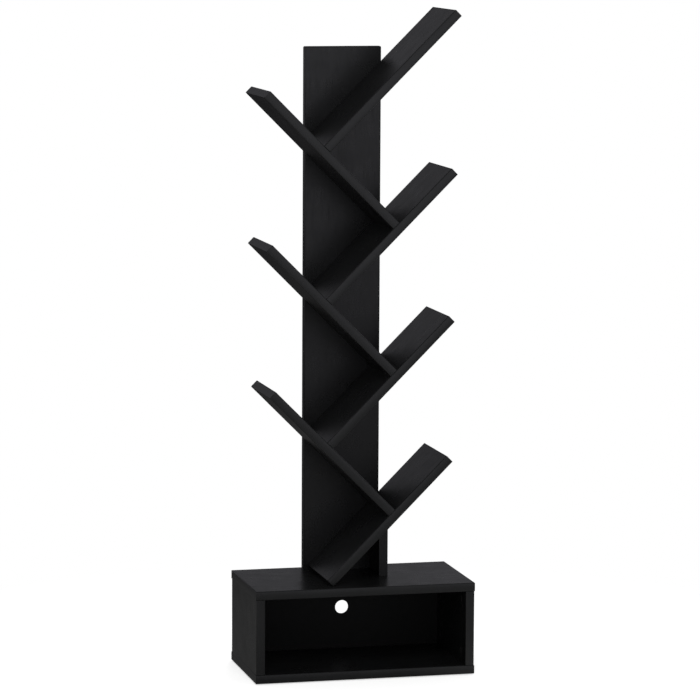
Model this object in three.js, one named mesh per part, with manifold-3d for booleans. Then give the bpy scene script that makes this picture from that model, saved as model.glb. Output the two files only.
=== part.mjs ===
// A tree shaped bookshelf. Seven shelf boards at 45 degrees zigzag up the front of one upright board, the
// trunk, which stands on an open base box. Millimetres, +Z up, the front faces -Y, and the origin is on the
// floor under the middle of the base. Shelf numbers count from the top.
import * as THREE from "three";
import { mergeVertices } from "three/addons/utils/BufferGeometryUtils.js";
import Module from "manifold-3d";

const wasm = await Module();
wasm.setup();

// Boards, their edge bands and the clearances between pieces
const BOARD = 19; // thickness of every board but the back panel
const BAND = 2; // thickness of an edge band
const BAND_ROUND = 1.6; // radius of an edge band's outer corners
const GLUE_LINE = 0.2; // between a board and its edge band
const FIT_GAP = 0.3; // round a piece that seats in or against another
const OVERRUN = 2; // how far a cut runs past the face that it opens

// Base box
const BASE_WIDTH = 480;
const BASE_DEPTH = 250;
const BASE_HEIGHT = 199; // without the glides
const SIDE_INSET = 1; // side panels stand in from the ends of the top and bottom boards
const BACK_THICKNESS = 5;
const BACK_SETBACK = 12; // from the base's rear edges to the back panel
const GROOVE_DEPTH = 7;
const CABLE_HOLE_DIAMETER = 30;
const CABLE_HOLE_X = 3.5;
const CABLE_HOLE_RISE = 91; // its centre above the bottom board
const GLIDE_DIAMETER = 20;
const GLIDE_THICKNESS = 2;
const GLIDE_INSET = 30; // from the base's edges to a glide's centre

// Trunk, and the brace that stiffens its foot
const TRUNK_WIDTH = 168;
const TRUNK_CENTRE_X = -6;
const TRUNK_BACK_INSET = 26; // from the base's rear edge to the trunk's back face
const TRUNK_RISE = 199; // from the highest nook's corner to the trunk's top
const TRUNK_CORNER = 3; // radius of its top corners
const BRACE_DEPTH = 90; // from the trunk's front face forwards
const BRACE_INSET = 2; // from the trunk's right edge to the brace's right face

// Shelves. A falling board lands on the top face of the rising board below it, and a rising board stands on
// the top face of the falling board below it. LANDING is the distance from the rising board's low end to the
// top face of the falling board. STEP is that from the falling board's low end to the rising board's underside.
const RISE_ANGLE = THREE.MathUtils.degToRad(45);
const SHELF_DEPTH = 184;
const FOOT_X = -66; // where the lowest shelf's corner stands on the base
const RISING_1_LENGTH = 400;
const RISING_2_LENGTH = 384;
const RISING_3_LENGTH = 373.5;
const RISING_4_LENGTH = 367.5;
const FALLING_1_LENGTH = 395.5;
const FALLING_2_LENGTH = 383;
const FALLING_3_LENGTH = 369.5;
const LANDING_1 = 224;
const LANDING_2 = 214;
const LANDING_3 = 208;
const STEP_1 = 213;
const STEP_2 = 200;
const STEP_3 = 192;

// Screws with a countersunk head
const SCREW_LENGTH = 50;
const SCREW_DIAMETER = 6.3;
const SCREW_HEAD_DIAMETER = 10;
const SCREW_HEAD_DEPTH = 3;
const SCREW_TIP = 5;
const SCREW_RECESS_SPAN = 5;
const SCREW_RECESS_SLOT = 1.1; // width of each of the recess's two crossed slots
const SCREW_RECESS_DEPTH = 2.2;

// Dowels, glued in a board's end
const DOWEL_DIAMETER = 8;
const DOWEL_LENGTH = 30;
const DOWEL_IN_FACE = 10; // the part of a dowel that sits in the other board's face

// Cam locks and their bolts
const CAM_DIAMETER = 15;
const CAM_DEPTH = 12.5;
const CAM_SETBACK = 24; // from the panel's edge to the cam's centre
const CAM_RECESS_SPAN = 9;
const CAM_RECESS_SLOT = 1.8;
const CAM_RECESS_DEPTH = 2;
const BOLT_THREAD_DIAMETER = 6;
const BOLT_THREAD_LENGTH = 11;
const BOLT_NECK_DIAMETER = 4.6;
const BOLT_HEAD_DIAMETER = 6.4;
const BOLT_HEAD_LENGTH = 4;

// Where the fasteners sit, as shares of the board that they hold
const trunkScrewShares = { left: -0.27, right: 0.27 }; // across the trunk's width, from its middle
const trunkFootScrewShares = { left: -0.4, right: 0.22 };
const trunkFootDowelShares = [-0.15, 0.38];
const braceScrewShares = { low: 0.28, high: 0.72 }; // up the brace's left side
const braceFootScrewShare = 0.3; // from the brace's front edge
const jointDowelShares = [0.15, 0.5, 0.75]; // from a shelf's front edge
const camShares = { front: -0.34, rear: 0.34 }; // along the base's depth, from its middle
const baseDowelShares = [-0.16, 0.16];

// Facets
const FASTENER_SIDES = 10;
const CAM_SIDES = 20;
const GLIDE_SIDES = 24;
const HOLE_STEPS = 16; // per half turn of the cable hole
const ROUND_STEPS = 3;

// Planes that several pieces share
const BASE_BOTTOM_Z = GLIDE_THICKNESS;
const BASE_TOP_Z = BASE_BOTTOM_Z + BASE_HEIGHT;
const FLOOR_Z = BASE_BOTTOM_Z + BOARD; // the top face of the bottom board
const CEILING_Z = BASE_TOP_Z - BOARD; // the underside of the top board
const SIDE_OUTER_X = BASE_WIDTH / 2 - SIDE_INSET;
const SIDE_INNER_X = SIDE_OUTER_X - BOARD;
const BACK_PANEL_Y = BASE_DEPTH / 2 - BACK_SETBACK; // its rear face
const TRUNK_BACK_Y = BASE_DEPTH / 2 - TRUNK_BACK_INSET;
const TRUNK_FRONT_Y = TRUNK_BACK_Y - BOARD;
const TRUNK_MIDDLE_Y = TRUNK_FRONT_Y + BOARD / 2;
const SHELF_FRONT_Y = TRUNK_FRONT_Y - SHELF_DEPTH;
const TRUNK_LEFT_X = TRUNK_CENTRE_X - TRUNK_WIDTH / 2;
const TRUNK_RIGHT_X = TRUNK_CENTRE_X + TRUNK_WIDTH / 2;
const BRACE_RIGHT_X = TRUNK_RIGHT_X - BRACE_INSET;
const BRACE_LEFT_X = BRACE_RIGHT_X - BOARD;
const BRACE_MIDDLE_X = BRACE_RIGHT_X - BOARD / 2;
const BRACE_FRONT_Y = TRUNK_FRONT_Y - BRACE_DEPTH;

const UP = new THREE.Vector3(0, 0, 1);
const DOWN = new THREE.Vector3(0, 0, -1);
const FORWARDS = new THREE.Vector3(0, -1, 0);

const facedBoard = new THREE.MeshStandardMaterial({ color: 0x151516, roughness: 0.35, metalness: 0 });
const edgeBand = new THREE.MeshStandardMaterial({ color: 0x191a1b, roughness: 0.4, metalness: 0 });
const hardboard = new THREE.MeshStandardMaterial({ color: 0x121212, roughness: 0.75, metalness: 0 });
const zincSteel = new THREE.MeshStandardMaterial({ color: 0xa9abad, roughness: 0.35, metalness: 1 });
const feltPad = new THREE.MeshStandardMaterial({ color: 0x2a2a2a, roughness: 0.95, metalness: 0 });

const model = new THREE.Group();

// Solids

function solid(geometry) {
  const bare = geometry.clone();
  bare.deleteAttribute("normal");
  bare.deleteAttribute("uv");
  const merged = mergeVertices(bare);
  const corners = [];
  for (let i = 0; i < merged.index.count; i += 3) {
    const triangle = [0, 1, 2].map((k) => merged.index.getX(i + k));
    if (new Set(triangle).size === triangle.length) {
      corners.push(...triangle);
    }
  }
  const mesh = new wasm.Mesh({
    numProp: 3,
    vertProperties: new Float32Array(merged.attributes.position.array),
    triVerts: new Uint32Array(corners),
  });
  return new wasm.Manifold(mesh);
}

function surface(manifold) {
  const mesh = manifold.getMesh();
  const geometry = new THREE.BufferGeometry();
  geometry.setAttribute("position", new THREE.BufferAttribute(new Float32Array(mesh.vertProperties), 3));
  geometry.setIndex(new THREE.BufferAttribute(new Uint32Array(mesh.triVerts), 1));
  const faceted = geometry.toNonIndexed();
  faceted.computeVertexNormals();
  return faceted;
}

function addMesh(frame, name, geometry, material) {
  const mesh = new THREE.Mesh(geometry, material);
  mesh.name = name;
  frame.add(mesh);
}

// A profile of [radius, distance along +Z] pairs, turned about +Z
function turned(profile, sides) {
  const points = profile.map(([radius, along]) => new THREE.Vector2(radius, along));
  return new THREE.LatheGeometry(points, sides).rotateX(Math.PI / 2);
}

// An outline in X and Z, extruded along Y
function slab(outline, frontY, backY) {
  const options = { depth: backY - frontY, bevelEnabled: false, curveSegments: HOLE_STEPS };
  return new THREE.ExtrudeGeometry(outline, options).rotateX(Math.PI / 2).translate(0, backY, 0);
}

function block(low, high) {
  const geometry = new THREE.BoxGeometry(1, 1, 1);
  const place = geometry.attributes.position;
  for (let i = 0; i < place.count; i++) {
    place.setX(i, place.getX(i) > 0 ? high.x : low.x);
    place.setY(i, place.getY(i) > 0 ? high.y : low.y);
    place.setZ(i, place.getZ(i) > 0 ? high.z : low.z);
  }
  return geometry;
}

// A plate of board thickness under an outline in X and Y, with its top face at zero and its long edges round
function roundedPlate(outline) {
  const options = {
    depth: BOARD - 2 * BAND_ROUND,
    bevelThickness: BAND_ROUND,
    bevelSize: BAND_ROUND,
    bevelOffset: -BAND_ROUND,
    bevelSegments: ROUND_STEPS,
    curveSegments: ROUND_STEPS,
  };
  return new THREE.ExtrudeGeometry(outline, options).translate(0, 0, BAND_ROUND - BOARD);
}

function rectangle(low, high) {
  const outline = new THREE.Shape();
  outline.moveTo(low.x, low.y);
  outline.lineTo(high.x, low.y);
  outline.lineTo(high.x, high.y);
  outline.lineTo(low.x, high.y);
  outline.closePath();
  return outline;
}

// Boards. Each lies in its own frame, with its length along X, its depth along Y and its top face at zero. Its
// holes and the dowels that are glued in it are noted here, in the model's coordinates, and made last.
const boards = {};

function addBoard(name, frame, core, bands) {
  boards[name] = { frame, core, bands, holes: [], dowels: [] };
}

function finishBoard(name) {
  const { frame, core, bands, holes, dowels } = boards[name];
  const toFrame = frame.matrixWorld.clone().invert();
  const local = (geometry) => solid(geometry.clone().applyMatrix4(toFrame));
  const cuts = holes.map(local);
  let board = solid(core);
  for (const dowel of dowels) {
    board = board.add(local(dowel));
  }
  for (const cut of cuts) {
    board = board.subtract(cut);
  }
  addMesh(frame, name, surface(board), facedBoard);
  for (const [bandName, band] of Object.entries(bands)) {
    let strip = band;
    for (const cut of cuts) {
      strip = strip.subtract(cut);
    }
    addMesh(frame, bandName, surface(strip), edgeBand);
  }
}

// A board and the bands on its edges. edges says which of its four edges are banded: front and rear run along
// X, and start and end close its ends. Bands that meet are one piece.
function addBandedBoard(name, frame, lowCorner, highCorner, edges, bandNames) {
  const skin = BAND + GLUE_LINE;
  const core = {
    low: new THREE.Vector3(lowCorner.x, lowCorner.y, -BOARD),
    high: new THREE.Vector3(highCorner.x, highCorner.y, 0),
  };
  core.low.x += edges.start ? skin : 0;
  core.high.x -= edges.end ? skin : 0;
  core.low.y += edges.front ? skin : 0;
  core.high.y -= edges.rear ? skin : 0;
  // What the bands go round: the core with its glue line, run past the edges that have no band
  const inner = {
    low: new THREE.Vector3(lowCorner.x, lowCorner.y, -BOARD - OVERRUN),
    high: new THREE.Vector3(highCorner.x, highCorner.y, OVERRUN),
  };
  inner.low.x += edges.start ? BAND : -OVERRUN;
  inner.high.x -= edges.end ? BAND : -OVERRUN;
  inner.low.y += edges.front ? BAND : -OVERRUN;
  inner.high.y -= edges.rear ? BAND : -OVERRUN;
  const plate = solid(roundedPlate(rectangle(lowCorner, highCorner)));
  const rim = plate.subtract(solid(block(inner.low, inner.high)));
  const strips = rim.decompose().sort((a, b) => a.boundingBox().min[1] - b.boundingBox().min[1]);
  const bands = Object.fromEntries(bandNames.map((bandName, i) => [bandName, strips[i]]));
  addBoard(name, frame, block(core.low, core.high), bands);
}

function addBaseBox() {
  const halfDepth = BASE_DEPTH / 2;
  const allRound = { front: true, rear: true, start: true, end: true };
  for (const [name, topZ] of [["base_top", BASE_TOP_Z], ["base_bottom", FLOOR_Z]]) {
    const frame = new THREE.Group();
    frame.position.set(0, 0, topZ);
    model.add(frame);
    const low = new THREE.Vector2(-BASE_WIDTH / 2, -halfDepth);
    const high = new THREE.Vector2(BASE_WIDTH / 2, halfDepth);
    addBandedBoard(name, frame, low, high, allRound, [`${name}_edge_band`]);
  }
  // The side panels stand on end, with their top faces to the left
  for (const [name, leftX] of [["base_side_left", -SIDE_OUTER_X], ["base_side_right", SIDE_INNER_X]]) {
    const frame = new THREE.Group();
    frame.position.set(leftX, 0, FLOOR_Z);
    frame.rotation.y = -Math.PI / 2;
    model.add(frame);
    const low = new THREE.Vector2(0, -halfDepth);
    const high = new THREE.Vector2(CEILING_Z - FLOOR_Z, halfDepth);
    const edges = { front: true, rear: true };
    addBandedBoard(name, frame, low, high, edges, [`${name}_front_edge_band`, `${name}_rear_edge_band`]);
  }
}

// The thin back panel slides into grooves in the four boards round it
function addBackPanel() {
  const reachX = SIDE_INNER_X + GROOVE_DEPTH;
  const low = new THREE.Vector2(-reachX + FIT_GAP, FLOOR_Z - GROOVE_DEPTH + FIT_GAP);
  const high = new THREE.Vector2(reachX - FIT_GAP, CEILING_Z + GROOVE_DEPTH - FIT_GAP);
  const outline = rectangle(low, high);
  const circle = new THREE.Path();
  circle.absarc(CABLE_HOLE_X, FLOOR_Z + CABLE_HOLE_RISE, CABLE_HOLE_DIAMETER / 2, 0, 2 * Math.PI);
  outline.holes.push(circle);
  addMesh(model, "base_back_panel", slab(outline, BACK_PANEL_Y - BACK_THICKNESS, BACK_PANEL_Y), hardboard);
  const groove = block(
    new THREE.Vector3(-reachX, BACK_PANEL_Y - BACK_THICKNESS - FIT_GAP, FLOOR_Z - GROOVE_DEPTH),
    new THREE.Vector3(reachX, BACK_PANEL_Y + FIT_GAP, CEILING_Z + GROOVE_DEPTH),
  );
  for (const name of ["base_top", "base_bottom", "base_side_left", "base_side_right"]) {
    boards[name].holes.push(groove);
  }
}

// The zigzag: each shelf's group sits in the group of the shelf that carries it. A shelf's frame has its
// origin where its low end meets its top face.
function addShelves() {
  const risingLengths = [RISING_1_LENGTH, RISING_2_LENGTH, RISING_3_LENGTH, RISING_4_LENGTH];
  const fallingLengths = [FALLING_1_LENGTH, FALLING_2_LENGTH, FALLING_3_LENGTH];
  const landings = [LANDING_1, LANDING_2, LANDING_3];
  const steps = [STEP_1, STEP_2, STEP_3];
  let carrier = model;
  for (let i = risingLengths.length; i >= 1; i--) {
    const rising = new THREE.Group();
    if (carrier === model) {
      const footZ = BASE_TOP_Z + FIT_GAP;
      rising.position.set(FOOT_X - BOARD * Math.sin(RISE_ANGLE), 0, footZ + BOARD * Math.cos(RISE_ANGLE));
      rising.rotation.y = -RISE_ANGLE;
    } else {
      rising.position.set(-steps[i - 1] - BOARD, 0, 0);
      rising.rotation.y = -Math.PI / 2;
    }
    carrier.add(rising);
    const risingLow = new THREE.Vector2(carrier === model ? 0 : FIT_GAP, SHELF_FRONT_Y);
    const risingHigh = new THREE.Vector2(risingLengths[i - 1], TRUNK_FRONT_Y);
    const risingName = `rising_shelf_${i}`;
    const openAtStart = { front: true, rear: true, end: true };
    addBandedBoard(risingName, rising, risingLow, risingHigh, openAtStart, [`${risingName}_edge_band`]);
    if (i === 1) {
      break;
    }
    const falling = new THREE.Group();
    falling.position.set(landings[i - 2], 0, 0);
    falling.rotation.y = Math.PI / 2;
    rising.add(falling);
    const fallingLow = new THREE.Vector2(-fallingLengths[i - 2], SHELF_FRONT_Y);
    const fallingHigh = new THREE.Vector2(-FIT_GAP, TRUNK_FRONT_Y);
    const fallingName = `falling_shelf_${i - 1}`;
    const openAtEnd = { front: true, rear: true, start: true };
    addBandedBoard(fallingName, falling, fallingLow, fallingHigh, openAtEnd, [`${fallingName}_edge_band`]);
    carrier = falling;
  }
}

// The trunk lies in a frame that is turned upright, with its back face for a top face and its length along Y.
// One band runs up its left edge, round the two top corners and down its right edge.
function addTrunk(topZ) {
  const frame = new THREE.Group();
  frame.position.set(0, TRUNK_BACK_Y, BASE_TOP_Z);
  frame.rotation.set(Math.PI / 2, 0, Math.PI, "ZYX");
  model.add(frame);
  const height = topZ - BASE_TOP_Z;
  const outline = (inset, footY) => {
    const left = TRUNK_LEFT_X + inset;
    const right = TRUNK_RIGHT_X - inset;
    const radius = TRUNK_CORNER - inset;
    const path = new THREE.Shape();
    path.moveTo(-right, footY);
    path.lineTo(-left, footY);
    path.absarc(-left - radius, height - TRUNK_CORNER, radius, 0, Math.PI / 2);
    path.absarc(-right + radius, height - TRUNK_CORNER, radius, Math.PI / 2, Math.PI);
    path.closePath();
    return path;
  };
  const through = { depth: BOARD + 2 * OVERRUN, bevelEnabled: false, curveSegments: ROUND_STEPS };
  const inner = new THREE.ExtrudeGeometry(outline(BAND, -OVERRUN), through).translate(0, 0, -BOARD - OVERRUN);
  const band = solid(roundedPlate(outline(0, 0))).subtract(solid(inner));
  const plain = { depth: BOARD, bevelEnabled: false, curveSegments: ROUND_STEPS };
  const core = new THREE.ExtrudeGeometry(outline(BAND + GLUE_LINE, 0), plain).translate(0, 0, -BOARD);
  addBoard("trunk", frame, core, { trunk_edge_band: band });
}

// The brace stands on the base, square to the trunk, with its top cut to the lowest shelf's underside
function addBrace(lowestShelf) {
  const topZ = (x) => {
    const alongX = (x - lowestShelf.position.x) * Math.tan(RISE_ANGLE);
    return lowestShelf.position.z + alongX - (BOARD + FIT_GAP) / Math.cos(RISE_ANGLE);
  };
  const outline = new THREE.Shape();
  outline.moveTo(BRACE_LEFT_X, BASE_TOP_Z);
  outline.lineTo(BRACE_RIGHT_X, BASE_TOP_Z);
  outline.lineTo(BRACE_RIGHT_X, topZ(BRACE_RIGHT_X));
  outline.lineTo(BRACE_LEFT_X, topZ(BRACE_LEFT_X));
  outline.closePath();
  const core = slab(outline, BRACE_FRONT_Y + BAND + GLUE_LINE, TRUNK_FRONT_Y);
  const band = solid(slab(outline, BRACE_FRONT_Y, BRACE_FRONT_Y + BAND));
  addBoard("foot_brace", model, core, { foot_brace_edge_band: band });
  return topZ(BRACE_LEFT_X) - BASE_TOP_Z;
}

// Fasteners. Each kind is a profile turned about +Z, with its origin on the face that it enters or crosses,
// and a looser one for its hole. A seat turns +Z to the direction in which the fastener points.

function seat(frame, point, direction) {
  const turn = new THREE.Quaternion().setFromUnitVectors(UP, direction);
  const size = new THREE.Vector3(1, 1, 1);
  return frame.matrixWorld.clone().multiply(new THREE.Matrix4().compose(point, turn, size));
}

// A fastener with the cross shaped recess that a screwdriver turns it by
function withRecess(fastener, span, slot, depth) {
  const low = new THREE.Vector3(-span / 2, -slot / 2, -OVERRUN);
  const high = new THREE.Vector3(span / 2, slot / 2, depth);
  const slotAlong = block(low, high);
  const slotAcross = slotAlong.clone().rotateZ(Math.PI / 2);
  return surface(solid(fastener).subtract(solid(slotAlong)).subtract(solid(slotAcross)));
}

const screwRadius = SCREW_DIAMETER / 2;
const screwHeadRadius = SCREW_HEAD_DIAMETER / 2;
const screwBlank = turned([
  [0, 0],
  [screwHeadRadius, 0],
  [screwRadius, SCREW_HEAD_DEPTH],
  [screwRadius, SCREW_LENGTH - SCREW_TIP],
  [0, SCREW_LENGTH],
], FASTENER_SIDES);
const screw = withRecess(screwBlank, SCREW_RECESS_SPAN, SCREW_RECESS_SLOT, SCREW_RECESS_DEPTH);
const screwHole = turned([
  [0, -OVERRUN],
  [screwHeadRadius + FIT_GAP, -OVERRUN],
  [screwHeadRadius + FIT_GAP, FIT_GAP],
  [screwRadius + FIT_GAP, SCREW_HEAD_DEPTH + FIT_GAP],
  [screwRadius + FIT_GAP, SCREW_LENGTH + FIT_GAP],
  [0, SCREW_LENGTH + FIT_GAP],
], FASTENER_SIDES);

const dowelRadius = DOWEL_DIAMETER / 2;
const dowelPin = turned([
  [0, DOWEL_IN_FACE - DOWEL_LENGTH],
  [dowelRadius, DOWEL_IN_FACE - DOWEL_LENGTH],
  [dowelRadius, DOWEL_IN_FACE],
  [0, DOWEL_IN_FACE],
], FASTENER_SIDES);
const dowelHole = turned([
  [0, -OVERRUN],
  [dowelRadius + FIT_GAP, -OVERRUN],
  [dowelRadius + FIT_GAP, DOWEL_IN_FACE + FIT_GAP],
  [0, DOWEL_IN_FACE + FIT_GAP],
], FASTENER_SIDES);

const boltThreadRadius = BOLT_THREAD_DIAMETER / 2;
const boltNeckRadius = BOLT_NECK_DIAMETER / 2;
const boltHeadRadius = BOLT_HEAD_DIAMETER / 2;
const boltNeckEnd = CAM_SETBACK - BOLT_HEAD_LENGTH / 2;
const boltEnd = CAM_SETBACK + BOLT_HEAD_LENGTH / 2;
const camBolt = turned([
  [0, -BOLT_THREAD_LENGTH],
  [boltThreadRadius, -BOLT_THREAD_LENGTH],
  [boltThreadRadius, BOLT_HEAD_LENGTH],
  [boltNeckRadius, BOLT_HEAD_LENGTH],
  [boltNeckRadius, boltNeckEnd],
  [boltHeadRadius, boltNeckEnd],
  [boltHeadRadius, boltEnd],
  [0, boltEnd],
], FASTENER_SIDES);
const boltThreadHole = turned([
  [0, -BOLT_THREAD_LENGTH - FIT_GAP],
  [boltThreadRadius + FIT_GAP, -BOLT_THREAD_LENGTH - FIT_GAP],
  [boltThreadRadius + FIT_GAP, OVERRUN],
  [0, OVERRUN],
], FASTENER_SIDES);
const boltHeadHole = turned([
  [0, -OVERRUN],
  [boltHeadRadius + FIT_GAP, -OVERRUN],
  [boltHeadRadius + FIT_GAP, boltEnd + FIT_GAP],
  [0, boltEnd + FIT_GAP],
], FASTENER_SIDES);
const camBlank = turned([
  [0, 0],
  [CAM_DIAMETER / 2, 0],
  [CAM_DIAMETER / 2, CAM_DEPTH],
  [0, CAM_DEPTH],
], CAM_SIDES);
const cam = withRecess(camBlank, CAM_RECESS_SPAN, CAM_RECESS_SLOT, CAM_RECESS_DEPTH);
const camHole = turned([
  [0, -OVERRUN],
  [CAM_DIAMETER / 2 + FIT_GAP, -OVERRUN],
  [CAM_DIAMETER / 2 + FIT_GAP, CAM_DEPTH + FIT_GAP],
  [0, CAM_DEPTH + FIT_GAP],
], CAM_SIDES);

function addScrew(name, place, boardNames) {
  addMesh(model, name, screw.clone().applyMatrix4(place), zincSteel);
  for (const boardName of boardNames) {
    boards[boardName].holes.push(screwHole.clone().applyMatrix4(place));
  }
}

// A dowel is glued in the end of one board and sits loosely in the face of the other
function addDowel(place, endBoard, faceBoard) {
  boards[endBoard].dowels.push(dowelPin.clone().applyMatrix4(place));
  boards[faceBoard].holes.push(dowelHole.clone().applyMatrix4(place));
}

// Screws from the trunk's back face into the rear edges of the shelves and the brace
function addTrunkScrews(braceHeight) {
  const shelfNames = Object.keys(boards).filter((name) => name.includes("shelf"));
  for (const shelfName of shelfNames) {
    const { matrixWorld } = boards[shelfName].frame;
    const along = new THREE.Vector3().setFromMatrixColumn(matrixWorld, 0);
    const middle = new THREE.Vector3(0, 0, -BOARD / 2).applyMatrix4(matrixWorld);
    for (const [side, share] of Object.entries(trunkScrewShares)) {
      const x = TRUNK_CENTRE_X + share * TRUNK_WIDTH;
      const z = middle.z + ((x - middle.x) * along.z) / along.x;
      const place = seat(model, new THREE.Vector3(x, TRUNK_BACK_Y, z), FORWARDS);
      addScrew(`${shelfName}_screw_${side}`, place, ["trunk", shelfName]);
    }
  }
  for (const [level, share] of Object.entries(braceScrewShares)) {
    const point = new THREE.Vector3(BRACE_MIDDLE_X, TRUNK_BACK_Y, BASE_TOP_Z + share * braceHeight);
    addScrew(`foot_brace_screw_${level}`, seat(model, point, FORWARDS), ["trunk", "foot_brace"]);
  }
}

// Three dowels in the low end of each shelf that stands on another
function addShelfDowels() {
  const join = (shelfName, carrierName, x) => {
    for (const share of jointDowelShares) {
      const point = new THREE.Vector3(x, SHELF_FRONT_Y + share * SHELF_DEPTH, 0);
      addDowel(seat(boards[carrierName].frame, point, DOWN), shelfName, carrierName);
    }
  };
  [LANDING_1, LANDING_2, LANDING_3].forEach((landing, i) => {
    join(`falling_shelf_${i + 1}`, `rising_shelf_${i + 2}`, landing - BOARD / 2);
  });
  [STEP_1, STEP_2, STEP_3].forEach((step, i) => {
    join(`rising_shelf_${i + 1}`, `falling_shelf_${i + 1}`, -step - BOARD / 2);
  });
}

// Screws up through the base top into the trunk and the brace, and dowels in the trunk's foot
function addFootFasteners() {
  for (const [side, share] of Object.entries(trunkFootScrewShares)) {
    const point = new THREE.Vector3(TRUNK_CENTRE_X + share * TRUNK_WIDTH, TRUNK_MIDDLE_Y, CEILING_Z);
    addScrew(`trunk_foot_screw_${side}`, seat(model, point, UP), ["base_top", "trunk"]);
  }
  for (const share of trunkFootDowelShares) {
    const point = new THREE.Vector3(TRUNK_CENTRE_X + share * TRUNK_WIDTH, TRUNK_MIDDLE_Y, BASE_TOP_Z);
    addDowel(seat(model, point, DOWN), "trunk", "base_top");
  }
  const braceY = BRACE_FRONT_Y + braceFootScrewShare * BRACE_DEPTH;
  const bracePoint = new THREE.Vector3(BRACE_MIDDLE_X, braceY, CEILING_Z);
  addScrew("foot_brace_screw_under", seat(model, bracePoint, UP), ["base_top", "foot_brace"]);
}

// Cam locks in the side panels, each one solid with the bolt that it grips, which is screwed into the top or
// the bottom board, and dowels beside them
function addBaseFasteners() {
  const sides = { left: -1, right: 1 };
  const levels = {
    top: { faceZ: CEILING_Z, into: DOWN, outOf: UP },
    bottom: { faceZ: FLOOR_Z, into: UP, outOf: DOWN },
  };
  for (const [side, sign] of Object.entries(sides)) {
    const edgeX = sign * (SIDE_INNER_X + BOARD / 2);
    const panel = `base_side_${side}`;
    const outwards = new THREE.Vector3(sign, 0, 0);
    for (const [level, { faceZ, into, outOf }] of Object.entries(levels)) {
      const carrier = `base_${level}`;
      for (const [end, share] of Object.entries(camShares)) {
        const y = share * BASE_DEPTH;
        const boltPlace = seat(model, new THREE.Vector3(edgeX, y, faceZ), into);
        const camPoint = new THREE.Vector3(sign * SIDE_INNER_X, y, faceZ + into.z * CAM_SETBACK);
        const camPlace = seat(model, camPoint, outwards);
        boards[carrier].holes.push(boltThreadHole.clone().applyMatrix4(boltPlace));
        boards[panel].holes.push(boltHeadHole.clone().applyMatrix4(boltPlace));
        boards[panel].holes.push(camHole.clone().applyMatrix4(camPlace));
        const bolt = solid(camBolt.clone().applyMatrix4(boltPlace));
        const lock = solid(cam.clone().applyMatrix4(camPlace)).add(bolt);
        addMesh(model, `base_cam_lock_${side}_${level}_${end}`, surface(lock), zincSteel);
      }
      for (const share of baseDowelShares) {
        addDowel(seat(model, new THREE.Vector3(edgeX, share * BASE_DEPTH, faceZ), outOf), panel, carrier);
      }
    }
  }
}

function addGlides() {
  const glide = turned([
    [0, 0],
    [GLIDE_DIAMETER / 2, 0],
    [GLIDE_DIAMETER / 2, GLIDE_THICKNESS],
    [0, GLIDE_THICKNESS],
  ], GLIDE_SIDES);
  const x = BASE_WIDTH / 2 - GLIDE_INSET;
  const y = BASE_DEPTH / 2 - GLIDE_INSET;
  addMesh(model, "floor_glide_front_left", glide.clone().translate(-x, -y, 0), feltPad);
  addMesh(model, "floor_glide_front_right", glide.clone().translate(x, -y, 0), feltPad);
  addMesh(model, "floor_glide_rear_left", glide.clone().translate(-x, y, 0), feltPad);
  addMesh(model, "floor_glide_rear_right", glide.clone().translate(x, y, 0), feltPad);
}

addBaseBox();
addBackPanel();
addShelves();
model.updateMatrixWorld(true);
const highestNook = new THREE.Vector3(-STEP_1 - BOARD, 0, 0).applyMatrix4(boards.falling_shelf_1.frame.matrixWorld);
addTrunk(highestNook.z + TRUNK_RISE);
const braceHeight = addBrace(boards.rising_shelf_4.frame);
model.updateMatrixWorld(true);
addTrunkScrews(braceHeight);
addShelfDowels();
addFootFasteners();
addBaseFasteners();
addGlides();
Object.keys(boards).forEach(finishBoard);

export default model;
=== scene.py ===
"""Looks for the tree shaped bookshelf: black faced boards, edge bands, cover caps, floor, light and camera."""

from math import cos, pi, radians, sin

import bmesh
import bpy
from mathutils import Matrix, Vector


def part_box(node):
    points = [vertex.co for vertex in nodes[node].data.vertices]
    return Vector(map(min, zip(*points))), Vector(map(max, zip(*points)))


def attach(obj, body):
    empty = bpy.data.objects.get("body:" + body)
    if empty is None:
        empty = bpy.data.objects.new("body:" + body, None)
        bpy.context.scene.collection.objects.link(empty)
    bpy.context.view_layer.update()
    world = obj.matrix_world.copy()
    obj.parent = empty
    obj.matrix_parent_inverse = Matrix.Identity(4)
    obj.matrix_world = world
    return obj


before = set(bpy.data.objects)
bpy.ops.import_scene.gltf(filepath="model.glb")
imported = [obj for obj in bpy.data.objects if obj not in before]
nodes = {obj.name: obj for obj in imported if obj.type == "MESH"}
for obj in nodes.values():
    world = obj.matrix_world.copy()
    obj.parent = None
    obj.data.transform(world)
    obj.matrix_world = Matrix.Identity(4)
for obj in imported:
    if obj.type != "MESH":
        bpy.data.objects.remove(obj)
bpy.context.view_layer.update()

# Sizes in metres
MM = 0.001
CAM_RADIUS = 7.5 * MM
SCREW_CAP_RADIUS = 6.5 * MM
SCREW_CAP_HEIGHT = 1.5 * MM
CAM_CAP_RADIUS = 8.5 * MM
CAM_CAP_HEIGHT = 1.4 * MM
CAP_RIM = 0.5 * MM
CAP_RIM_STEPS = 5
CAP_SIDES = 48
CAP_CROWN_SHARES = ((0.75, 0.55), (0.4, 0.9))  # of the flat face's radius, and of the rim's height
WELD_DISTANCE = 0.005 * MM
SMOOTH_ANGLE = radians(34)

# How the boards lie: the turn about y that brings a board's length to x
BOARD_TURNS = {"rising": radians(45), "falling": radians(-45), "upright": radians(90), "level": 0}

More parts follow.
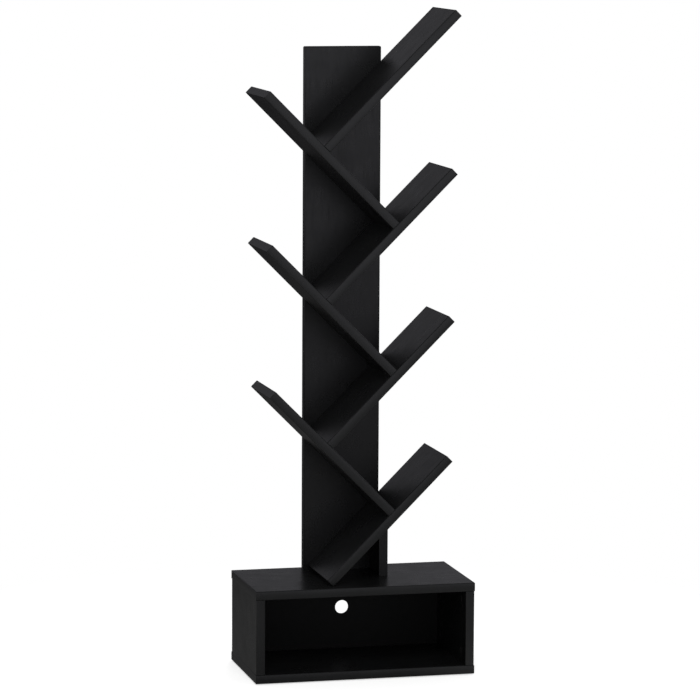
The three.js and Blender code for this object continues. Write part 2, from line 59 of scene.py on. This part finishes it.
# Greys from dark to light, and roughness from shiny to dull
BOARD_GREYS = (0.0052, 0.0080)
BOARD_ROUGHNESS = (0.26, 0.33)
PORE_ROUGHNESS = 0.12  # added in the wood pores
BAND_GREYS = (0.0080, 0.0110)
BAND_ROUGHNESS = (0.29, 0.38)
HARDBOARD_GREYS = (0.0052, 0.0072)
HARDBOARD_ROUGHNESS = (0.6, 0.75)
ZINC_DULL = (0.40, 0.42, 0.43, 1)
ZINC_BRIGHT = (0.52, 0.53, 0.52, 1)
ZINC_ROUGHNESS = (0.24, 0.42)
FELT_GREYS = (0.012, 0.035)
FELT_ROUGHNESS = (0.9, 1.0)
CAP_GREYS = (0.0085, 0.0115)
CAP_ROUGHNESS = (0.42, 0.52)
FILM_WARMTH = -0.03
PAINT_WARMTH = 0.02
SATIN_SPECULAR = 0.4
PAINT_SPECULAR = 0.3
FELT_SPECULAR = 0.2
METAL_SPECULAR = 0.5

# Between which levels a noise is spread
NARROW = (0.35, 0.65)
WIDE = (0.3, 0.7)
MARKS = (0.35, 0.7)
PORES = (0.5, 0.72)

# Camera
CAMERA_PLACE = Vector((-1.8354, -7.3904, 1.6906))
CAMERA_YAW = radians(13.8923)
CAMERA_PITCH = radians(-7.4599)
CAMERA_ROLL = radians(0.2861)
CAMERA_LENS = 184.490  # for a sensor 36 mm wide
CAMERA_SENSOR = 36

# Floor and lamps
WHITE = (1, 1, 1, 1)
FLOOR_SIZE = 60
FLOOR_SHADED_RADIUS = 0.45
FLOOR_WHITE_RADIUS = 1.2
FLOOR_COLOUR = 0.8
FLOOR_GLOW = 0.6  # lifts the floor to white in the camera
WORLD_FILL = 0.42
LAMP_TARGET = Vector((0, 0, 0.8))
LAMP_SIZE = 1.4
KEY_PLACE = Vector((-0.5, -2.4, 2.7))
KEY_POWER = 38
REAR_PLACE = Vector((0.9, 2.6, 2.2))
REAR_POWER = 24

# How white the surroundings are in the gloss of the boards, as shares of white. Each pair of shares goes with
# a pair of places: depths are y in metres on the floor, and heights are z of a direction of length 1
FLOOR_FRONT_DEPTHS = (-1, -9)
FLOOR_FRONT_SHARES = (0.22, 1.0)
FLOOR_FRONT_POWER = 4
FLOOR_SIDE_SHARE = 0.5
FLOOR_BACK_DEPTHS = (0.5, 2.5)
FLOOR_BACK_SHARES = (0.1, 0.035)
FLOOR_TURN_DEPTHS = (-0.6, 0)  # where the front gives way to the sides and the back
WORLD_FRONT_HEIGHTS = (0.05, 0.35)
WORLD_FRONT_SHARES = (0.8, 0.03)
WORLD_SIDE_HEIGHTS = (0.1, 0.5)
WORLD_SIDE_SHARES = (0.5, 0.2)
WORLD_BACK_HEIGHTS = (0.1, 0.3)
WORLD_BACK_SHARES = (0.19, 0.12)
WORLD_TURN = (-0.3, 0.1)  # y of a direction where the front gives way to the sides and the back
ZENITH_HEIGHTS = (0.8, 0.95)
ZENITH_SHARE = 0.4

# The dark wedge straight behind the object
BACK_HEADING = radians(-14)
BACK_AXIS = (sin(BACK_HEADING), cos(BACK_HEADING), 0)
BACK_EDGE_COSINES = (cos(radians(46)), cos(radians(28)))  # where it starts, and where it is full
BACK_START = Vector((0, -0.6, 0))
FAR_TINT = (1.0, 0.99, 1.07, 1)  # a hint of cool daylight
FAR_TINT_DISTANCES = (1, 6)


# Node trees

class Nodes:
    """A short way to write a node tree."""

    def __init__(self, tree):
        self.tree = tree
        self.tree.nodes.clear()

    def add(self, kind, inputs=None, **settings):
        node = self.tree.nodes.new(kind)
        for name, value in settings.items():
            setattr(node, name, value)
        for name, value in (inputs or {}).items():
            self.feed(node.inputs[name], value)
        return node

    def feed(self, socket, value):
        if isinstance(value, bpy.types.NodeSocket):
            self.tree.links.new(value, socket)
        else:
            socket.default_value = value

    def math(self, operation, *values):
        node = self.add("ShaderNodeMath", operation=operation)
        for socket, value in zip(node.inputs, values):
            self.feed(socket, value)
        return node.outputs[0]

    def vector_math(self, operation, *vectors):
        return self.add("ShaderNodeVectorMath", dict(enumerate(vectors)), operation=operation).outputs

    def average(self, first, second):
        return self.math("MULTIPLY", self.math("ADD", first, second), 0.5)

    def spread(self, value, low, high, to_low=0, to_high=1):
        """Maps low..high to to_low..to_high and holds it there."""
        inputs = {"Value": value, "From Min": low, "From Max": high, "To Min": to_low, "To Max": to_high}
        return self.add("ShaderNodeMapRange", inputs).outputs["Result"]

    def mix(self, kind, factor, first, second):
        node = self.add("ShaderNodeMix", data_type="RGBA" if kind == "RGBA" else "FLOAT")
        for name, value in (("Factor", factor), ("A", first), ("B", second)):
            wanted = "VALUE" if name == "Factor" else kind
            socket = next(s for s in node.inputs if s.name == name and s.type == wanted)
            self.feed(socket, value)
        return next(s for s in node.outputs if s.type == kind)

    def mix_colour(self, factor, first, second):
        return self.mix("RGBA", factor, first, second)

    def blend(self, factor, first, second):
        return self.mix("VALUE", factor, first, second)

    def shades(self, value, limits, greys, warmth=0.0):
        """Runs from the first grey to the second while the value crosses the limits."""
        dark, light = (grey(level, warmth) for level in greys)
        return self.mix_colour(self.spread(value, *limits), dark, light)

    def noise(self, vector, scale, detail=3.0, roughness=0.5):
        inputs = {"Vector": vector, "Scale": scale, "Detail": detail, "Roughness": roughness}
        return self.add("ShaderNodeTexNoise", inputs).outputs["Fac"]

    def bump(self, height, distance, strength, normal=None):
        inputs = {"Height": height, "Distance": distance, "Strength": strength}
        if normal is not None:
            inputs["Normal"] = normal
        return self.add("ShaderNodeBump", inputs).outputs["Normal"]


def grey(level, warmth=0.0):
    return (level * (1 + warmth), level, level * (1 - warmth), 1)


def new_material(name):
    material = bpy.data.materials.new(name)
    material.use_nodes = True
    return material, Nodes(material.node_tree)


def object_place(net, stretch=(1, 1, 1)):
    """Points of the object in metres, stretched along the axes."""
    place = net.add("ShaderNodeTexCoord").outputs["Object"]
    return net.add("ShaderNodeMapping", {"Vector": place, "Scale": stretch}).outputs["Vector"]


def along_board(net, turn, along, across):
    """Points of the object, turned so that the board's length is x, then stretched along and across it."""
    place = net.add("ShaderNodeTexCoord").outputs["Object"]
    turned = net.add("ShaderNodeMapping", {"Vector": place, "Rotation": (0, turn, 0)}).outputs["Vector"]
    stretch = (along, across, across)
    return net.add("ShaderNodeMapping", {"Vector": turned, "Scale": stretch}).outputs["Vector"]


def principled(net, colour, roughness, normal, specular, metallic=0.0):
    inputs = {"Base Color": colour, "Roughness": roughness, "Normal": normal, "Metallic": metallic}
    inputs["Specular IOR Level"] = specular
    shader = net.add("ShaderNodeBsdfPrincipled", inputs)
    net.add("ShaderNodeOutputMaterial", {"Surface": shader.outputs["BSDF"]})


# Materials

def faced_board_material(lie, turn):
    """Black melamine film: a satin sheen with a fine wood pore emboss, faint clouds and handling marks."""
    material, net = new_material(f"black_melamine_board_{lie}")
    place = object_place(net)
    clouds = net.noise(place, scale=9, detail=4)
    emboss = net.noise(place, scale=1500, detail=2, roughness=0.6)
    ripple = net.noise(place, scale=60, detail=2)
    marks = net.noise(place, scale=22, detail=6, roughness=0.7)
    figure = net.noise(along_board(net, turn, along=3, across=70), scale=1, detail=5, roughness=0.6)
    streaks = net.noise(along_board(net, turn, along=22, across=640), scale=1, detail=3, roughness=0.6)
    pores = net.spread(streaks, *PORES)
    colour = net.shades(net.average(clouds, figure), NARROW, BOARD_GREYS, FILM_WARMTH)
    dull_pores = net.math("MULTIPLY", pores, PORE_ROUGHNESS)
    satin = net.math("ADD", net.spread(marks, *MARKS, *BOARD_ROUGHNESS), dull_pores)
    normal = net.bump(ripple, distance=0.04 * MM, strength=0.5)
    normal = net.bump(emboss, distance=0.02 * MM, strength=0.6, normal=normal)
    normal = net.bump(net.math("SUBTRACT", 1, pores), distance=0.05 * MM, strength=0.5, normal=normal)
    principled(net, colour, satin, normal, SATIN_SPECULAR)
    return material


def edge_band_material(lie, turn):
    """Charcoal edge banding, a little lighter and duller than the faces, with the lines of its extrusion."""
    material, net = new_material(f"charcoal_edge_band_{lie}")
    place = object_place(net)
    clouds = net.noise(place, scale=14)
    grain = net.noise(place, scale=900, detail=2, roughness=0.6)
    lines = net.noise(along_board(net, turn, along=6, across=520), scale=1, roughness=0.6)
    colour = net.shades(net.average(clouds, lines), NARROW, BAND_GREYS, FILM_WARMTH)
    satin = net.spread(lines, *WIDE, *BAND_ROUGHNESS)
    normal = net.bump(grain, distance=0.015 * MM, strength=0.6)
    normal = net.bump(lines, distance=0.03 * MM, strength=0.5, normal=normal)
    principled(net, colour, satin, normal, SATIN_SPECULAR)
    return material


def hardboard_material():
    """Thin hardboard painted black: matte, with the felted fibres of the sheet under the paint."""
    material, net = new_material("black_hardboard")
    fibres = net.noise(object_place(net, (1, 1, 2.5)), scale=420, detail=5, roughness=0.7)
    clouds = net.noise(object_place(net), scale=12)
    colour = net.shades(clouds, WIDE, HARDBOARD_GREYS, PAINT_WARMTH)
    rough = net.spread(fibres, *WIDE, *HARDBOARD_ROUGHNESS)
    normal = net.bump(fibres, distance=0.05 * MM, strength=0.5)
    principled(net, colour, rough, normal, PAINT_SPECULAR)
    return material


def zinc_steel_material():
    """Bright zinc plate with a cool cast and fine dull patches."""
    material, net = new_material("zinc_steel")
    place = object_place(net)
    patches = net.noise(place, scale=260, detail=4, roughness=0.6)
    frost = net.noise(place, scale=2200, detail=2)
    colour = net.mix_colour(net.spread(patches, *NARROW), ZINC_DULL, ZINC_BRIGHT)
    rough = net.spread(patches, *WIDE, *ZINC_ROUGHNESS)
    normal = net.bump(frost, distance=0.01 * MM, strength=0.5)
    principled(net, colour, rough, normal, METAL_SPECULAR, metallic=1.0)
    return material


def felt_material():
    """Pressed felt: soft dark fibres."""
    material, net = new_material("dark_felt")
    fibres = net.noise(object_place(net), scale=2600, detail=6, roughness=0.75)
    colour = net.shades(fibres, WIDE, FELT_GREYS)
    rough = net.spread(fibres, *WIDE, *FELT_ROUGHNESS)
    normal = net.bump(fibres, distance=0.25 * MM, strength=0.8)
    principled(net, colour, rough, normal, FELT_SPECULAR)
    return material


def cap_material():
    """Moulded black plastic with a fine spark eroded skin."""
    material, net = new_material("black_cap_plastic")
    place = object_place(net)
    skin = net.noise(place, scale=3200, detail=2, roughness=0.6)
    clouds = net.noise(place, scale=90, detail=2)
    colour = net.shades(clouds, WIDE, CAP_GREYS)
    rough = net.spread(skin, *WIDE, *CAP_ROUGHNESS)
    normal = net.bump(skin, distance=0.02 * MM, strength=0.6)
    principled(net, colour, rough, normal, SATIN_SPECULAR)
    return material


# Pieces

def smooth_by_angle():
    """A node group that smooths a mesh but for its sharp edges."""
    group = bpy.data.node_groups.new("smooth_by_angle", "GeometryNodeTree")
    group.interface.new_socket("Geometry", in_out="INPUT", socket_type="NodeSocketGeometry")
    group.interface.new_socket("Geometry", in_out="OUTPUT", socket_type="NodeSocketGeometry")
    net = Nodes(group)
    start = net.add("NodeGroupInput")
    whole = {"Geometry": start.outputs[0], "Shade Smooth": True}
    faces = net.add("GeometryNodeSetShadeSmooth", whole, domain="FACE")
    angle = net.add("GeometryNodeInputMeshEdgeAngle").outputs["Unsigned Angle"]
    compare = net.add("FunctionNodeCompare", data_type="FLOAT", operation="GREATER_THAN")
    net.feed(compare.inputs[0], angle)
    net.feed(compare.inputs[1], SMOOTH_ANGLE)
    edges = {"Geometry": faces.outputs[0], "Selection": compare.outputs[0], "Shade Smooth": False}
    sharp = net.add("GeometryNodeSetShadeSmooth", edges, domain="EDGE")
    net.add("NodeGroupOutput", {0: sharp.outputs[0]})
    return group


def add_object(name, data):
    thing = bpy.data.objects.new(name, data)
    bpy.context.scene.collection.objects.link(thing)
    return thing


def cap_profile(radius, height):
    """(radius, height) pairs of a flat cap with a rounded rim and a barely crowned face."""
    shoulder = height - 2 * CAP_RIM
    profile = [(0, 0), (radius, 0), (radius, shoulder)]
    for i in range(1, CAP_RIM_STEPS + 1):
        turn = pi / 2 * i / CAP_RIM_STEPS
        profile.append((radius - CAP_RIM * (1 - cos(turn)), shoulder + CAP_RIM * sin(turn)))
    for across, up in CAP_CROWN_SHARES:
        profile.append(((radius - CAP_RIM) * across, height - CAP_RIM + CAP_RIM * up))
    profile.append((0, height))
    return profile


def add_cap(name, profile, place, direction):
    """A plastic cap turned from its profile, with its foot at place and its axis along direction."""
    mesh = bmesh.new()
    angles = [2 * pi * i / CAP_SIDES for i in range(CAP_SIDES)]
    rings = []
    for radius, height in profile:
        if radius == 0:
            rings.append([mesh.verts.new((0, 0, height))])
        else:
            rings.append([mesh.verts.new((radius * cos(a), radius * sin(a), height)) for a in angles])
    for lower, upper in zip(rings, rings[1:]):
        for i in range(CAP_SIDES):
            j = (i + 1) % CAP_SIDES
            if len(lower) == 1:
                mesh.faces.new((lower[0], upper[j], upper[i]))
            elif len(upper) == 1:
                mesh.faces.new((lower[i], lower[j], upper[0]))
            else:
                mesh.faces.new((lower[i], lower[j], upper[j], upper[i]))
    bmesh.ops.recalc_face_normals(mesh, faces=mesh.faces)
    data = bpy.data.meshes.new(name)
    mesh.to_mesh(data)
    mesh.free()
    turn = Vector((0, 0, 1)).rotation_difference(direction).to_matrix().to_4x4()
    data.transform(Matrix.Translation(place) @ turn)
    data.materials.append(plastic)
    piece = add_object(name, data)
    piece.modifiers.new("smooth", "NODES").node_group = smoothing
    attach(piece, "root")


def add_screw_caps():
    """Stick-on caps over the screw heads in the trunk's back."""
    profile = cap_profile(SCREW_CAP_RADIUS, SCREW_CAP_HEIGHT)
    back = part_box("trunk")[1].y
    for name in sorted(nodes):
        low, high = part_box(name)
        if "_screw_" in name and abs(high.y - back) < MM:
            middle = (low + high) / 2
            add_cap(f"{name}_cap", profile, Vector((middle.x, back, middle.z)), Vector((0, 1, 0)))


def add_cam_caps():
    """Push-in caps over the cam locks in the base's side panels."""
    profile = cap_profile(CAM_CAP_RADIUS, CAM_CAP_HEIGHT)
    for side, inwards in (("left", 1), ("right", -1)):
        low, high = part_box(f"base_side_{side}")
        face = high.x if side == "left" else low.x
        for level in ("top", "bottom"):
            for end in ("front", "rear"):
                lock = f"base_cam_lock_{side}_{level}_{end}"
                low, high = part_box(lock)
                height = low.z + CAM_RADIUS if level == "top" else high.z - CAM_RADIUS
                place = Vector((face, (low.y + high.y) / 2, height))
                add_cap(f"{lock}_cap", profile, place, Vector((inwards, 0, 0)))


# Stage

def light_path(net):
    return net.add("ShaderNodeLightPath").outputs


def emission(net, strength, colour=WHITE):
    return net.add("ShaderNodeEmission", {"Color": colour, "Strength": strength}).outputs[0]


def behind(net, place):
    """1 in the wedge straight behind the object, 0 at its sides and in front."""
    level = net.vector_math("MULTIPLY", place, (1, 1, 0))[0]
    heading = net.vector_math("NORMALIZE", level)[0]
    along = net.vector_math("DOT_PRODUCT", heading, BACK_AXIS)["Value"]
    return net.spread(along, *BACK_EDGE_COSINES)


def floor_gloss(net, place):
    """The floor as the boards' gloss shows it."""
    depth = net.add("ShaderNodeSeparateXYZ", {"Vector": place}).outputs["Y"]
    farness = net.math("POWER", net.spread(depth, *FLOOR_FRONT_DEPTHS), FLOOR_FRONT_POWER)
    front = net.spread(farness, 0, 1, *FLOOR_FRONT_SHARES)
    back = net.spread(depth, *FLOOR_BACK_DEPTHS, *FLOOR_BACK_SHARES)
    from_start = net.vector_math("SUBTRACT", place, BACK_START)[0]
    around = net.blend(behind(net, from_start), FLOOR_SIDE_SHARE, back)
    share = net.blend(net.spread(depth, *FLOOR_TURN_DEPTHS), front, around)
    distance = net.math("ABSOLUTE", depth)
    tint = net.mix_colour(net.spread(distance, *FAR_TINT_DISTANCES), WHITE, FAR_TINT)
    return emission(net, share, tint)


def add_floor():
    """A pale floor that keeps the soft shadow near the object and is plain white further out."""
    data = bpy.data.meshes.new("floor")
    half = FLOOR_SIZE / 2
    corners = [(-half, -half, 0), (half, -half, 0), (half, half, 0), (-half, half, 0)]
    data.from_pydata(corners, [], [(0, 1, 2, 3)])
    floor = add_object("floor", data)
    material, net = new_material("pale_floor")
    data.materials.append(material)
    rays = light_path(net)
    place = net.add("ShaderNodeTexCoord").outputs["Object"]
    distance = net.vector_math("LENGTH", place)["Value"]
    far = net.spread(distance, FLOOR_SHADED_RADIUS, FLOOR_WHITE_RADIUS)
    diffuse = net.add("ShaderNodeBsdfDiffuse", {"Color": grey(FLOOR_COLOUR)}).outputs[0]
    glow = net.math("MULTIPLY", rays["Is Camera Ray"], FLOOR_GLOW)
    lit = net.add("ShaderNodeAddShader", {0: diffuse, 1: emission(net, glow)}).outputs[0]
    in_gloss = {"Fac": rays["Is Glossy Ray"], 1: lit, 2: floor_gloss(net, place)}
    lit = net.add("ShaderNodeMixShader", in_gloss).outputs[0]
    seen = net.math("MULTIPLY", rays["Is Camera Ray"], far)
    surface = net.add("ShaderNodeMixShader", {"Fac": seen, 1: lit, 2: emission(net, 1)}).outputs[0]
    net.add("ShaderNodeOutputMaterial", {"Surface": surface})


def set_world():
    """White to the camera, shares of white in the gloss of the boards, and a soft grey fill on the object."""
    world = bpy.data.worlds.new("studio")
    world.use_nodes = True
    bpy.context.scene.world = world
    net = Nodes(world.node_tree)
    rays = light_path(net)
    direction = net.add("ShaderNodeTexCoord").outputs["Generated"]
    split = net.add("ShaderNodeSeparateXYZ", {"Vector": direction}).outputs
    front = net.spread(split["Z"], *WORLD_FRONT_HEIGHTS, *WORLD_FRONT_SHARES)
    side = net.spread(split["Z"], *WORLD_SIDE_HEIGHTS, *WORLD_SIDE_SHARES)
    back = net.spread(split["Z"], *WORLD_BACK_HEIGHTS, *WORLD_BACK_SHARES)
    around = net.blend(behind(net, direction), side, back)
    gloss = net.blend(net.spread(split["Y"], *WORLD_TURN), front, around)
    gloss = net.blend(net.spread(split["Z"], *ZENITH_HEIGHTS), gloss, ZENITH_SHARE)
    others = net.blend(rays["Is Glossy Ray"], WORLD_FILL, gloss)
    seen = net.math("MAXIMUM", rays["Is Camera Ray"], rays["Is Transmission Ray"])
    strength = net.math("MAXIMUM", seen, others)
    tint = net.mix_colour(rays["Is Glossy Ray"], WHITE, FAR_TINT)
    background = net.add("ShaderNodeBackground", {"Color": tint, "Strength": strength})
    net.add("ShaderNodeOutputWorld", {"Surface": background.outputs[0]})


def add_softbox(name, place, power):
    """A soft lamp that lights the object but doesn't show in its gloss."""
    light = bpy.data.lights.new(name, "AREA")
    light.size = LAMP_SIZE
    light.energy = power
    lamp = add_object(name, light)
    lamp.location = place
    lamp.rotation_euler = (LAMP_TARGET - place).to_track_quat("-Z", "Y").to_euler()
    lamp.visible_glossy = False


def add_camera():
    camera = bpy.data.cameras.new("camera")
    camera.sensor_width = CAMERA_SENSOR
    camera.lens = CAMERA_LENS
    camera.clip_end = 2 * FLOOR_SIZE
    level = Vector((sin(CAMERA_YAW), cos(CAMERA_YAW), 0))
    right = Vector((cos(CAMERA_YAW), -sin(CAMERA_YAW), 0))
    ahead = level * cos(CAMERA_PITCH) + Vector((0, 0, sin(CAMERA_PITCH)))
    up = right.cross(ahead)
    rolled_right = right * cos(CAMERA_ROLL) + up * sin(CAMERA_ROLL)
    rolled_up = up * cos(CAMERA_ROLL) - right * sin(CAMERA_ROLL)
    turn = Matrix((rolled_right, rolled_up, -ahead)).transposed()
    viewer = add_object("camera", camera)
    viewer.matrix_world = Matrix.Translation(CAMERA_PLACE) @ turn.to_4x4()
    bpy.context.scene.camera = viewer


# The scene

smoothing = smooth_by_angle()
boards = {lie: faced_board_material(lie, turn) for lie, turn in BOARD_TURNS.items()}
bands = {lie: edge_band_material(lie, turn) for lie, turn in BOARD_TURNS.items()}
hardboard = hardboard_material()
zinc = zinc_steel_material()
felt = felt_material()
plastic = cap_material()


def lie_of(name):
    """How the board of a node lies."""
    if name.startswith(("rising", "falling")):
        return name.split("_")[0]
    return "upright" if name.startswith(("trunk", "foot_brace", "base_side")) else "level"


def material_of(name):
    if name.endswith("edge_band"):
        return bands[lie_of(name)]
    if "_screw_" in name or "cam_lock" in name:
        return zinc
    if name.startswith("floor_glide"):
        return felt
    if name == "base_back_panel":
        return hardboard
    return boards[lie_of(name)]


for name, node in nodes.items():
    node.data.materials.clear()
    node.data.materials.append(material_of(name))
    weld = node.modifiers.new("weld", "WELD")
    weld.merge_threshold = WELD_DISTANCE
    node.modifiers.new("smooth", "NODES").node_group = smoothing

add_screw_caps()
add_cam_caps()
add_floor()
set_world()
add_softbox("key", KEY_PLACE, KEY_POWER)
add_softbox("rear", REAR_PLACE, REAR_POWER)
add_camera()

bpy.context.scene.view_settings.view_transform = "Standard"
